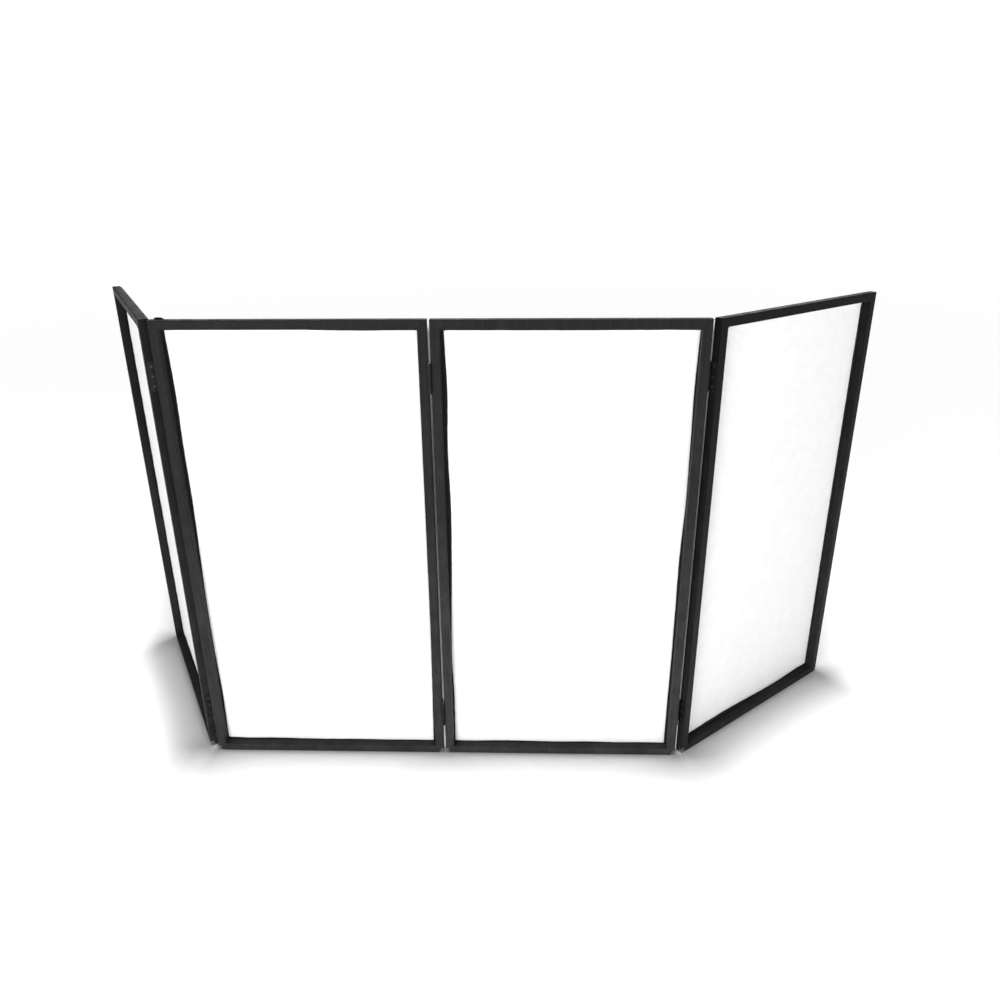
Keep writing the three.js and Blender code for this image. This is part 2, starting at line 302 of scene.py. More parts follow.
def piece(name, mesh, panel, material, replaces=(), sharp=35):
    """A piece of a panel, its mesh in the panel's axes. Edges flatter than sharp degrees are smooth."""
    mesh.shade_smooth()
    mesh.set_sharp_from_angle(angle=math.radians(sharp))
    made = bpy.data.objects.new(name, mesh)
    bpy.context.scene.collection.objects.link(made)
    SCREEN.objects.link(made)
    made.matrix_world = panel.matrix
    mesh.materials.append(material)
    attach(made, panel.name)
    for node in replaces:
        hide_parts(node)
    return made


def weigh_normals(made):
    """Keeps flat faces flat beside their rounded edges."""
    weighted = made.modifiers.new("flat_faces", "WEIGHTED_NORMAL")
    weighted.keep_sharp = True


def rounded_square(size, inset=0.0):
    """Points round a tube's square section, moved in by inset, from the section's outer corner."""
    half = size / 2
    bend = CORNER_RADIUS - inset
    points = []
    for quarter in range(4):
        turn = quarter * math.pi / 2
        corner = Vector((half - CORNER_RADIUS, half - CORNER_RADIUS))
        for step in range(CORNER_STEPS + 1):
            angle = step / CORNER_STEPS * math.pi / 2
            point = corner + Vector((math.cos(angle), math.sin(angle))) * bend
            x = point.x * math.cos(turn) - point.y * math.sin(turn)
            y = point.x * math.sin(turn) + point.y * math.cos(turn)
            points.append((half + x, half + y))
    return points


def on_side(panel, side, across, along, back):
    """A point of the panel, from how far it lies across a side from the outer edge, along it, and back."""
    if side == "left":
        return Vector((across, back, along))
    if side == "right":
        return Vector((panel.width - across, back, along))
    if side == "top":
        return Vector((along, back, panel.height - across))
    return Vector((along, back, across))


def side_length(panel, side):
    """The panel's outer size along one side."""
    return panel.height if side in ("left", "right") else panel.width


# -------- nodes of materials

class Nodes:
    """A new material and short names for making its nodes."""

    def __init__(self, name):
        self.material = bpy.data.materials.new(name)
        self.material.use_nodes = True
        self.tree = self.material.node_tree
        self.shader = self.tree.nodes["Principled BSDF"]
        self.place = self.new("ShaderNodeTexCoord").outputs["Object"]

    def new(self, kind, **inputs):
        """A node of that kind, with its inputs set by name."""
        node = self.tree.nodes.new(kind)
        for name, value in inputs.items():
            self.set(node, name.replace("_", " "), value)
        return node

    def set(self, node, name, value):
        """Links an input to a socket, or sets it to a constant."""
        if isinstance(value, bpy.types.NodeSocket):
            self.tree.links.new(value, node.inputs[name])
        else:
            node.inputs[name].default_value = value

    def scaled(self, x, y, z):
        """The piece's own coordinates, each multiplied by its own factor."""
        node = self.new("ShaderNodeMapping", Vector=self.place)
        node.inputs["Scale"].default_value = (x, y, z)
        return node.outputs["Vector"]

    def noise(self, place, scale=1.0, detail=2.0, rough=0.5):
        node = self.new("ShaderNodeTexNoise", Vector=place, Scale=scale, Detail=detail, Roughness=rough)
        return node.outputs["Fac"]

    def math(self, operation, a, b):
        node = self.tree.nodes.new("ShaderNodeMath")
        node.operation = operation
        self.set(node, 0, a)
        self.set(node, 1, b)
        return node.outputs[0]

    def average(self, a, b, share=0.5):
        """share of a, and the rest of b."""
        return self.math("ADD", self.math("MULTIPLY", a, share), self.math("MULTIPLY", b, 1 - share))

    def distance(self, point):
        """How far a place is from a point in the piece's own coordinates."""
        node = self.new("ShaderNodeVectorMath", Vector=self.place)
        node.operation = "DISTANCE"
        node.inputs[1].default_value = point
        return node.outputs["Value"]

    def waves(self, way, pitch):
        """Even ridges across the direction X, Z or DIAGONAL, from 0 to 1, a pitch apart."""
        node = self.new("ShaderNodeTexWave", Vector=self.place, Scale=math.pi / 10 / pitch)
        node.bands_direction = way
        return node.outputs["Fac"]

    def spread(self, value, low, high, to_low=0.0, to_high=1.0):
        """value from low to high becomes to_low to to_high, with soft ends."""
        node = self.tree.nodes.new("ShaderNodeMapRange")
        node.interpolation_type = "SMOOTHSTEP"
        limits = {"From Min": low, "From Max": high, "To Min": to_low, "To Max": to_high}
        for name, number in limits.items():
            node.inputs[name].default_value = number
        self.set(node, "Value", value)
        return node.outputs["Result"]

    def mix(self, share, a, b):
        """Colour a where share is 0 and b where it is 1."""
        node = self.tree.nodes.new("ShaderNodeMix")
        node.data_type = "RGBA"
        self.set(node, 0, share)
        self.set(node, 6, a)
        self.set(node, 7, b)
        return node.outputs[2]

    def bump(self, height, distance, strength=1.0, under=None):
        node = self.new("ShaderNodeBump", Height=height, Distance=distance, Strength=strength)
        if under is not None:
            self.set(node, "Normal", under)
        return node.outputs["Normal"]

    def attribute(self, name):
        node = self.tree.nodes.new("ShaderNodeAttribute")
        node.attribute_name = name
        return node.outputs["Fac"]

    def finish(self, **sockets):
        """Sets the shader's inputs by name, and gives the material."""
        for name, value in sockets.items():
            self.set(self.shader, name.replace("_", " "), value)
        return self.material


def grey(level, warmth=0.0):
    """A linear colour of that level, a little redder than blue by its warmth."""
    return (level * (1 + warmth), level, level * (1 - warmth), 1)


def paint_material(panel):
    """Black satin powder coat: orange peel, streaks, a lighter coat toward the floor, chips at the lower
    corners.
    """
    # On the wings this level is darkened as painted shade.
    base = COAT_LEVEL_AND_PAINTED_SHADE[panel.name]
    n = Nodes(f"{panel.name}_powder_coat")
    streaks = n.noise(n.scaled(1 / 0.006, 1 / 0.006, 1 / 0.16), 1.0, 3.0, 0.6)
    cloudy = n.noise(n.place, 1 / 0.05, 3.0, 0.55)
    shade = n.spread(n.average(streaks, cloudy), 0.35, 0.65)
    coat = n.mix(shade, grey(base * 0.72), grey(base * 1.3))
    # The coat grows lighter toward the floor.
    lighter_low_coat = n.mix(shade, grey(base * 1.9), grey(base * 3.2))
    height = n.new("ShaderNodeSeparateXYZ", Vector=n.place).outputs["Z"]
    colour = n.mix(n.spread(height, 0.0, panel.height, 1.0, 0.0), coat, lighter_low_coat)

    near = [n.spread(n.distance((x, 0.0, 0.004)), 0.004, 0.03, 1.0, 0.0) for x in (0.0, panel.width)]
    chips = n.noise(n.place, 1 / 0.005, 4.0, 0.65)
    bare = n.spread(n.math("MULTIPLY", n.math("MAXIMUM", *near), chips), 0.40, 0.47)
    colour = n.mix(bare, colour, grey(0.16))
    rough = n.spread(cloudy, 0.3, 0.7, 0.45, 0.56)
    rough = n.math("SUBTRACT", rough, n.math("MULTIPLY", bare, 0.1))
    peel = n.bump(n.noise(n.place, 1 / 0.0016, 2.0, 0.5), 0.00006, 0.8)
    return n.finish(Base_Color=colour, Roughness=rough, Specular_IOR_Level=0.06, Normal=peel)


def cloth_material():
    """White matt stretch knit: fine ribs, faint thick and thin places, and grey over the black band."""
    n = Nodes("white_stretch_knit")
    cloudy = n.noise(n.place, 1 / 0.03, 4.0, 0.6)
    yarn = n.noise(n.scaled(1 / 0.0012, 1 / 0.0012, 1 / 0.012), 1.0, 2.0, 0.5)
    shade = n.spread(n.average(cloudy, yarn, 0.6), 0.3, 0.7)
    colour = n.mix(shade, grey(0.85), grey(0.90, 0.004))
    colour = n.mix(n.math("MULTIPLY", n.attribute("margin"), 0.3), colour, grey(0.42))
    knit = n.math("MULTIPLY", n.waves("X", 0.0011), n.waves("Z", 0.0014))
    bump = n.bump(knit, 0.00016, 0.7, under=n.bump(cloudy, 0.0005, 0.15))
    return n.finish(
        Base_Color=colour, Roughness=0.92, Specular_IOR_Level=0.25,
        Sheen_Weight=0.12, Sheen_Roughness=0.5, Normal=bump,
    )


def loop_material():
    """Black brushed loop tape: a nap of fine loops in tufts, with a little lint."""
    n = Nodes("black_loop_tape")
    nap = n.noise(n.place, 1 / 0.0007, 4.0, 0.7)
    tufts = n.noise(n.place, 1 / 0.004, 3.0, 0.6)
    lint = n.spread(n.noise(n.place, 1 / 0.0022, 2.0, 0.5), 0.70, 0.78)
    colour = n.mix(n.spread(tufts, 0.3, 0.7), grey(0.006), grey(0.012))
    colour = n.mix(n.math("MULTIPLY", lint, 0.5), colour, grey(0.10))
    bump = n.bump(nap, 0.0005, 0.8, under=n.bump(tufts, 0.0006, 0.4))
    return n.finish(
        Base_Color=colour, Roughness=0.96, Specular_IOR_Level=0.1,
        Sheen_Weight=0.08, Sheen_Roughness=0.6, Normal=bump,
    )


def hook_material():
    """Black woven hook tape: rows of stiff little hooks on a plain weave."""
    n = Nodes("black_hook_tape")
    weave = n.math("MULTIPLY", n.waves("X", 0.0012), n.waves("Z", 0.0012))
    uneven = n.noise(n.place, 1 / 0.006, 3.0, 0.6)
    colour = n.mix(n.spread(uneven, 0.3, 0.7), grey(0.008), grey(0.016))
    bump = n.bump(weave, 0.0004, 0.9)
    return n.finish(Base_Color=colour, Roughness=0.75, Specular_IOR_Level=0.2, Normal=bump)


def thread_material():
    """Black twisted polyester thread."""
    n = Nodes("black_thread")
    twist = n.waves("DIAGONAL", 0.0005)
    colour = n.mix(twist, grey(0.010), grey(0.022))
    bump = n.bump(twist, 0.00008, 0.8)
    return n.finish(Base_Color=colour, Roughness=0.55, Specular_IOR_Level=0.25, Normal=bump)


def hinge_material():
    """Black satin paint on pressed steel, thin and rubbed bright in small places."""
    n = Nodes("black_hinge_paint")
    cloudy = n.noise(n.place, 1 / 0.012, 4.0, 0.6)
    chips = n.noise(n.place, 1 / 0.0018, 3.0, 0.6)
    bare = n.spread(n.math("MULTIPLY", cloudy, chips), 0.40, 0.45)
    colour = n.mix(n.spread(cloudy, 0.3, 0.7), grey(0.007), grey(0.012))
    colour = n.mix(bare, colour, grey(0.06))
    rough = n.spread(cloudy, 0.3, 0.7, 0.40, 0.52)
    peel = n.bump(n.noise(n.place, 1 / 0.0013, 2.0, 0.5), 0.00005, 0.8)
    return n.finish(Base_Color=colour, Roughness=rough, Specular_IOR_Level=0.12, Normal=peel)


def steel_material(name, base, dullness):
    """Blackened steel: metal under a thin dark oxide, with fine turning marks."""
    n = Nodes(name)
    marks = n.noise(n.scaled(1 / 0.003, 1 / 0.003, 1 / 0.0002), 1.0, 2.0, 0.5)
    oxide = n.noise(n.place, 1 / 0.003, 4.0, 0.6)
    colour = n.mix(n.spread(oxide, 0.35, 0.65), grey(base * 0.6), grey(base * 1.4, 0.02))
    rough = n.spread(oxide, 0.3, 0.7, dullness - 0.06, dullness + 0.08)
    return n.finish(Base_Color=colour, Roughness=rough, Metallic=0.85, Normal=n.bump(marks, 0.00002, 0.5))


# -------- frames

def make_tubes(panel, paint):
    """The four mitred tubes, each a wall round an open inside."""
    outer = rounded_square(panel.face)
    inner = rounded_square(panel.face, TUBE_WALL)
    gap = panel.box("bottom_rail")[0][0] - panel.box("left_stile")[0][0]
    for side, tube in zip(SIDES, TUBES):
        length = side_length(panel, side)
        rings = []
        for (out_across, out_back), (in_across, in_back) in zip(outer, inner):
            rings.append([
                on_side(panel, side, out_across, out_across + gap / 2, out_back),
                on_side(panel, side, out_across, length - out_across - gap / 2, out_back),
                on_side(panel, side, in_across, length - in_across - gap / 2, in_back),
                on_side(panel, side, in_across, in_across + gap / 2, in_back),
            ])
        shape = Shape()
        shape.loft(rings, hoop=True)
        name = f"{panel.name}_{tube}"
        made = piece(f"{name}_tube", shape.mesh(name), panel, paint, [name])
        weigh_normals(made)


def make_welds(panel, paint):
    """A bead round each mitre: ground nearly flush outside, a small fillet in the inner corner."""
    section = rounded_square(panel.face)
    shape = Shape()
    for x_side in (0, 1):
        for z_side in (0, 1):
            shape.loft(weld_rings(panel, section, x_side, z_side), hoop=True)
    name = f"{panel.name}_welds"
    piece(name, shape.mesh(name), panel, paint, sharp=60)


def weld_rings(panel, section, x_side, z_side):
    """Rings of a weld bead that runs round the mitre of one corner."""
    x_way, z_way = 1 - 2 * x_side, 1 - 2 * z_side
    corner = Vector((x_side * panel.width, 0, z_side * panel.height))
    seam = Vector((x_way, 0, -z_way)).normalized()
    loop = []
    for across, back in section:
        loop.append(corner + Vector((x_way * across, back, z_way * across)))
    loop = resampled(loop, WELD_RIPPLE_PITCH, STATIONS_PER_RIPPLE)
    middle = sum(loop, Vector()) / len(loop)
    rings = []
    for i, point in enumerate(loop):
        ahead = loop[(i + 1) % len(loop)] - loop[i - 1]
        out = ahead.cross(seam).normalized()
        if out.dot(point - middle) < 0:
            out = -out
        across = abs(point.x - corner.x) / panel.face
        fillet = smooth((across - WELD_FILLET_START) / (1 - WELD_FILLET_START))
        flush = smooth(across / WELD_UP)
        ripple = math.sin(i / STATIONS_PER_RIPPLE * math.tau) * WELD_RIPPLE * (0.4 + fillet)
        proud = WELD_PROUD * flush + (WELD_FILLET - WELD_PROUD) * fillet + ripple * flush
        wide = WELD_EDGE_WIDTH + (WELD_HALF_WIDTH - WELD_EDGE_WIDTH) * flush
        wide += (WELD_FILLET - WELD_HALF_WIDTH) * fillet
        point = point - out * WELD_SUNK * (1 - flush)
        ring = []
        for step in range(WELD_SIDES):
            angle = step / WELD_SIDES * math.tau
            thick = proud if math.cos(angle) > 0 else WELD_DEPTH
            ring.append(point + out * (thick * math.cos(angle)) + seam * (wide * math.sin(angle)))
        rings.append(ring)
    return rings


def resampled(loop, pitch, stations):
    """Points at even steps round a closed loop: so many stations in each of a whole number of pitches."""
    points = np.array([tuple(p) for p in loop + loop[:1]])
    run = np.concatenate([[0], np.cumsum(np.linalg.norm(np.diff(points, axis=0), axis=1))])
    count = stations * round(run[-1] / pitch)
    at = np.arange(count) / count * run[-1]
    return [Vector([np.interp(a, run, points[:, k]) for k in range(3)]) for a in at]


def smooth(share):
    """A share from 0 to 1 with soft ends."""
    share = min(1.0, max(0.0, share))
    return share * share * (3 - 2 * share)


# -------- band, stitching and cloth

def curve_through(knots, share):
    """A smooth curve through values at even places, at a share of its length from 0 to 1."""
    place = min(max(share, 0.0), 1.0) * (len(knots) - 1)
    first = min(int(place), len(knots) - 2)
    t = place - first
    before, a, b, after = (knots[min(max(first + i, 0), len(knots) - 1)] for i in (-1, 0, 1, 2))
    slope = b - before
    bend = 2 * before - 5 * a + 4 * b - after
    twist = 3 * (a - b) + after - before
    return a + 0.5 * t * (slope + t * (bend + t * twist))


def band_edge(panel, side, along):
    """The loop band's inner edge: its distance from the panel's outer edge, at a place along one side."""
    reach = curve_through(BAND_EDGES[panel.name][side], along / side_length(panel, side)) * MM
    place = Vector((along / BAND_RIPPLE_LENGTH, 7.3 * SIDES.index(side), 3.1 * PANELS.index(panel.name)))
    return panel.face + reach + noise.noise(place) * BAND_RIPPLE


def loose_rise(panel, side, along):
    """How far the loose end of a strip stands out past the place where it was stuck."""
    if (panel.name, side) != (LOOSE_END["panel"], LOOSE_END["side"]):
        return 0.0
    share = (along - LOOSE_END["from"]) / (LOOSE_END["to"] - LOOSE_END["from"])
    if not 0 < share < 1:
        return 0.0
    return LOOSE_END["rise"] * smooth(share / LOOSE_CLIMB) * smooth((1 - share) / LOOSE_FALL)


def past_band(panel, x, z):
    """How far a place in the panel lies past the band's inner edge. It is negative over the band."""
    return min(
        x - band_edge(panel, "left", z),
        panel.width - x - band_edge(panel, "right", z),
        panel.height - z - band_edge(panel, "top", x),
        z - band_edge(panel, "bottom", x),
    )


def lift(panel, x, z):
    """How far cloth and band stand back from flat at a place in the panel. On the tubes they lie flat."""
    across = min(x, panel.width - x)
    up = min(z, panel.height - z)
    inside = min(across, up) - panel.face
    if inside <= 0:
        return 0.0
    own = PANEL_NOISE_STEP * PANELS.index(panel.name)
    turned = FAN_TURNS[0] * (x > panel.width / 2) + FAN_TURNS[1] * (z > panel.height / 2) + own
    turn = math.atan2(up - panel.face, across - panel.face)
    reach = math.hypot(up - panel.face, across - panel.face)
    fan = math.sin(FAN_FOLDS_PER_RADIAN * turn + turned) * smooth(reach / FAN_START)
    fan *= math.exp(-reach / FAN_REACH)
    gather = noise.noise(Vector((x / GATHER_LENGTH, z / GATHER_LENGTH, own)))
    gather *= math.exp(-inside / GATHER_REACH)
    slack = noise.noise(Vector((x / SLACK_WIDTH, z / SLACK_LENGTH, own + SLACK_NOISE_STEP)))
    slack *= smooth(inside / SLACK_START)
    step_down = CLOTH_STEP_DOWN * smooth(past_band(panel, x, z) / CLOTH_STEP_RUN)
    waves = FAN_HEIGHT * fan + GATHER_HEIGHT * gather + SLACK_HEIGHT * slack
    return waves * smooth(inside / FOLDS_START) - step_down


def make_band(panel, material):
    """Four strips of loop tape round the cloth's margin. The stiles' strips fit between the rails'."""
    node = f"{panel.name}_loop_band"
    low, high = panel.box_of(node)
    shape = Shape()
    for side in SIDES:
        steps = round(side_length(panel, side) / BAND_STATION)
        shape.loft([band_ring(panel, side, i / steps, low[1], high[1]) for i in range(steps + 1)])
    name = f"{panel.name}_loop_tape"
    return piece(name, shape.mesh(name), panel, material, [node], sharp=50)


def band_ring(panel, side, share, front, back):
    """The section of a strip of loop band at a share of its length, with round edges."""
    length = side_length(panel, side)
    along = panel.band_outer + share * (length - 2 * panel.band_outer)
    start = panel.band_outer - loose_rise(panel, side, along)
    end = band_edge(panel, side, along)
    edge = (back - front) / 3
    section = [(start + edge, front), (start, front + edge), (start, back - edge), (start + edge, back)]
    between = [start + (end - start) * part / BAND_COLUMNS for part in range(1, BAND_COLUMNS)]
    section += [(across, back) for across in between]
    section += [(end - edge, back), (end, back - edge), (end, front + edge), (end - edge, front)]
    section += [(across, front) for across in reversed(between)]
    ring = []
    for across, level in section:
        own = along
        if side in ("left", "right"):
            x = across if side == "left" else panel.width - across
            first = band_edge(panel, "bottom", x) + BAND_CORNER_GAP
            last = length - band_edge(panel, "top", x) - BAND_CORNER_GAP
            own = first + share * (last - first)
        point = on_side(panel, side, across, own, level)
        point.y += lift(panel, point.x, point.z)
        ring.append(point)
    return ring


def thread_lines(low, high):
    """Places of a cloth's grid lines along one way: close near both edges, wider apart in the middle."""
    fine = round(CLOTH_MARGIN / FINE_STEP)
    start = np.linspace(low, low + CLOTH_MARGIN, fine + 1)
    end = np.linspace(high - CLOTH_MARGIN, high, fine + 1)
    coarse = round((end[0] - start[-1]) / COARSE_STEP)
    middle = np.linspace(start[-1], end[0], coarse + 1)[1:-1]
    return np.concatenate([start, middle, end])


def make_cloth(panel, material):
    """The cloth: one thin stretched sheet with its folds, its margin lying on the frame."""
    low, high = panel.box("cloth")
    xs = thread_lines(low[0], high[0])
    zs = thread_lines(low[2], high[2])
    points, margin = [], []
    for level in (low[1], high[1]):
        for z in zs:
            for x in xs:
                rise = 0.0
                if z == zs[-1]:
                    rise = max(0.0, loose_rise(panel, "top", x) - CLOTH_BEHIND_LOOSE_TAPE)
                points.append((x, level + lift(panel, x, z), z + rise))
                margin.append(1.0 - smooth(past_band(panel, x, z) / MARGIN_FADE + 0.5))
    columns, rows = len(xs), len(zs)
    back = columns * rows
    faces = []
    for row in range(rows - 1):
        for column in range(columns - 1):
            a = row * columns + column
            faces.append((a, a + 1, a + columns + 1, a + columns))
            faces.append((back + a, back + a + columns, back + a + columns + 1, back + a + 1))
    rim = list(range(columns))
    rim += [row * columns + columns - 1 for row in range(1, rows)]
    rim += [(rows - 1) * columns + column for column in reversed(range(columns - 1))]
    rim += [row * columns for row in reversed(range(1, rows - 1))]
    for a, b in zip(rim, rim[1:] + rim[:1]):
        faces.append((a, back + a, back + b, b))
    shape = Shape()
    shape.points = points
    shape.faces = faces
    name = f"{panel.name}_knit"
    mesh = shape.mesh(name)
    shown = mesh.attributes.new("margin", "FLOAT", "POINT")
    shown.data.foreach_set("value", margin)
    made = piece(name, mesh, panel, material, [f"{panel.name}_cloth"], sharp=50)
    return made, (high[0] - low[0], high[2] - low[2])


# A stitch's rings: share of its length, height of its middle over the cloth and its girth, in radii.
STITCH_RINGS = ((0.0, -1.2, 0.6), (0.16, 0.35, 1.0), (0.84, 0.35, 1.0), (1.0, -1.2, 0.6))


def outer_row(panel, side, along):
    """How far in from the panel's outer edge the outer row of stitches lies. It follows the loose end."""
    return panel.band_outer + STITCH_INSET - max(0.0, loose_rise(panel, side, along) - STITCH_INSET)


def inner_row(panel, side, along):
    """How far in from the panel's outer edge the inner row of stitches lies."""
    return band_edge(panel, side, along) - STITCH_INSET


def make_stitching(panel, material):
    """Two rows of stitches along the band on the cloth's back, and the inner row again on its front."""
    front = panel.box("loop_band")[0][1]
    back = panel.box("cloth")[1][1]
    # Each row: its place across, the face it lies on, the way that faces, and its start along the side.
    rows = (
        (outer_row, back, 1, panel.band_outer + STITCH_INSET),
        (inner_row, back, 1, panel.face),
        (inner_row, front, -1, panel.face),
    )
    shape = Shape()
    for side in SIDES:
        for row, level, way, start in rows:
            count = int((side_length(panel, side) - 2 * start) / STITCH_PITCH)
            for number in range(count):
                add_stitch(shape, panel, side, row, start + number * STITCH_PITCH, level, way)
    name = f"{panel.name}_stitching"
    return piece(name, shape.mesh(name), panel, material, sharp=60)


def add_stitch(shape, panel, side, row, start, level, way):
    """One stitch of a row: a short arch of thread that dips into the cloth at both ends."""
    rings = []
    for share, height, girth in STITCH_RINGS:
        along = start + share * STITCH_LENGTH
        middle = on_side(panel, side, row(panel, side, along), along, level)
        middle.y += lift(panel, middle.x, middle.z) + way * height * THREAD_RADIUS
        ring = []
        for step in range(THREAD_SIDES):
            angle = step / THREAD_SIDES * math.tau
            sideways = math.cos(angle) * girth * THREAD_RADIUS
            off = on_side(panel, side, sideways, 0, 0) - on_side(panel, side, 0, 0, 0)
            ring.append(middle + off + Vector((0, math.sin(angle) * girth * THREAD_RADIUS, 0)))
        rings.append(ring)
    shape.loft(rings)


def make_hook_tapes(panel, material):
    """Four adhesive tapes on the frame's back, each with thin woven edges and a raised field of hooks."""
    for side in SIDES:
        node = f"{side}_hook_tape"
        low, high = panel.box(node)
        across, along = (0, 2) if side in ("left", "right") else (2, 0)
        near, far = low[across], high[across]
        if side in ("right", "top"):
            size = panel.width if side == "right" else panel.height
            near, far = size - far, size - near
        start, end = low[along], high[along]
        front, back = low[1], high[1]
        thin = front + (back - front) * SELVEDGE_SHARE
        soft = HOOK_TAPE_ROUNDING
        section = [
            (near, front), (far, front), (far, thin - soft), (far - soft, thin), (far - SELVEDGE, thin),
            (far - SELVEDGE - soft, back - soft), (far - SELVEDGE - 2 * soft, back),
            (near + SELVEDGE + 2 * soft, back), (near + SELVEDGE + soft, back - soft),
            (near + SELVEDGE, thin), (near + soft, thin), (near, thin - soft),
        ]
        stations = np.linspace(start, end, round((end - start) / HOOK_STATION) + 1)
        shape = Shape()
        shape.loft([[on_side(panel, side, a, station, b) for a, b in section] for station in stations])
        name = f"{panel.name}_{node}"
        piece(f"{name}_woven", shape.mesh(name), panel, material, [name])


# -------- hinges

def circle(radius):
    """Points round a circle."""
    turns = [i / ROUND_SIDES * math.tau for i in range(ROUND_SIDES)]
    return [(radius * math.cos(turn), radius * math.sin(turn)) for turn in turns]


def joint_place(name):
    """A point on a joint's axis, in the row frame."""
    return Vector(next(joint for joint in frame["joints"] if joint["name"] == name)["pos_m"])


class Leaf:
    """One hinge leaf's place and sizes. In its own axes the pin is along Z, and the plate reaches to +Y."""

    def __init__(self, joint, level, side):
        left, right, joint_name = JOINTS[joint]
        self.side = side
        self.panel = PANEL[left if side == "left" else right]
        self.node = f"{joint}_{level}_hinge_{side}_leaf"
        low, high = self.panel.box_of(self.node)
        axis = self.panel.inverse @ joint_place(joint_name)
        axis.z = (low[2] + high[2]) / 2
        at_front = axis.y < 0
        x_way = -1 if side == "left" else 1
        y_way = 1 if at_front else -1
        self.matrix = Matrix.Translation(axis) @ Matrix.Diagonal((x_way, y_way, x_way * y_way, 1))
        beside = axis.x - self.panel.width if side == "left" else -axis.x
        before = -axis.y if at_front else axis.y - self.panel.depth
        self.half = (high[2] - low[2]) / 2
        self.knuckle = min(axis.y - low[1], high[1] - axis.y)
        self.reach = max(axis.y - low[1], high[1] - axis.y)
        self.plate_out = beside - LEAF_SEAT_GAP
        self.plate_in = self.plate_out - LEAF_THICKNESS
        self.screw_y = (self.reach + before) / 2
        middle = (SCREWS_PER_LEAF - 1) / 2
        self.screw_heights = [(i - middle) * SCREW_SPACING for i in range(SCREWS_PER_LEAF)]

    def to_panel(self, mesh):
        """A copy of a mesh in the leaf's axes, moved to the panel's axes."""
        moved = mesh.copy()
        moved.transform(self.matrix)
        return moved


def carved(name, base, operations, bevel=0.0):
    """The mesh base after operations, (kind of boolean, other mesh) in turn, with its edges rounded."""
    scene_objects = bpy.context.scene.collection.objects
    target = bpy.data.objects.new(name, base)
    scene_objects.link(target)
    others = []
    for operation, mesh in operations:
        other = bpy.data.objects.new(f"{name}_{operation.lower()}", mesh)
        scene_objects.link(other)
        others.append(other)
        cut = target.modifiers.new(operation.lower(), "BOOLEAN")
        cut.operation = operation
        cut.solver = "EXACT"
        cut.object = other
    if bevel:
        rounding = target.modifiers.new("rounding", "BEVEL")
        rounding.width = bevel
        rounding.segments = 2
        rounding.limit_method = "ANGLE"
        rounding.angle_limit = BEVEL_ANGLE
    bpy.context.view_layer.update()
    shaped = target.evaluated_get(bpy.context.evaluated_depsgraph_get())
    made = bpy.data.meshes.new_from_object(shaped)
    made.name = name
    for used in others + [target]:
        bpy.data.objects.remove(used)
    return made


def leaf_mesh(leaf):
    """A pressed plate with rolled knuckles, a bore for the pin and three countersunk holes."""
    operations = [
        ("UNION", knuckle_shape(leaf).mesh("knuckles")),
        ("DIFFERENCE", leaf_holes(leaf).mesh("holes")),
    ]
    return carved(leaf.node, plate_shape(leaf).mesh("plate"), operations, LEAF_BEVEL)


def plate_shape(leaf):
    """The leaf's flat plate with round corners."""
    near = leaf.knuckle + KNUCKLE_GAP + LEAF_CORNER
    far = leaf.reach - LEAF_CORNER
    top = leaf.half - LEAF_CORNER
    outline = []
    for quarter, (y, z) in enumerate(((far, top), (near, top), (near, -top), (far, -top))):
        for step in range(LEAF_CORNER_STEPS + 1):
            turn = (quarter + step / LEAF_CORNER_STEPS) * math.pi / 2
            outline.append((y + LEAF_CORNER * math.cos(turn), z + LEAF_CORNER * math.sin(turn)))
    plate = Shape()
    plate.loft([[Vector((x, y, z)) for y, z in outline] for x in (leaf.plate_in, leaf.plate_out)])
    return plate


def knuckle_shape(leaf):
    """The leaf's knuckles: round bars, each with a tongue that runs into the plate."""
    pitch = 2 * leaf.half / KNUCKLES
    end = leaf.knuckle + KNUCKLE_GAP + LEAF_CORNER
    first = math.asin(math.sqrt(1 - (leaf.plate_in / leaf.knuckle) ** 2))
    last = math.tau + math.acos(leaf.plate_out / leaf.knuckle)
    section = [(leaf.plate_out, end), (leaf.plate_in, end)]
    for step in range(ROUND_SIDES + 1):
        turn = first + (last - first) * step / ROUND_SIDES
        section.append((leaf.knuckle * math.cos(turn), leaf.knuckle * math.sin(turn)))
    knuckles = Shape()
    for number in LEAF_KNUCKLES[leaf.side]:
        low = -leaf.half + number * pitch + KNUCKLE_GAP / 2
        high = low + pitch - KNUCKLE_GAP
        knuckles.loft([[Vector((x, y, z)) for x, y in section] for z in (low, high)])
    return knuckles


def leaf_holes(leaf):
    """What is cut from a leaf: the pin's bore and the countersunk holes, a little past both faces."""
    holes = Shape()
    holes.loft([[Vector((x, y, z)) for x, y in circle(PIN_BORE)] for z in (-leaf.half * 2, leaf.half * 2)])
    run = LEAF_THICKNESS / 4
    ends = (
        (leaf.plate_in - run, COUNTERSINK_RADIUS + COUNTERSINK_SLOPE * run),
        (leaf.plate_out + run, SCREW_HOLE_RADIUS - COUNTERSINK_SLOPE * run),
    )
    for z in leaf.screw_heights:
        middle = Vector((0, leaf.screw_y, z))
        holes.loft([[middle + Vector((x, a, b)) for a, b in circle(radius)] for x, radius in ends])
    return holes


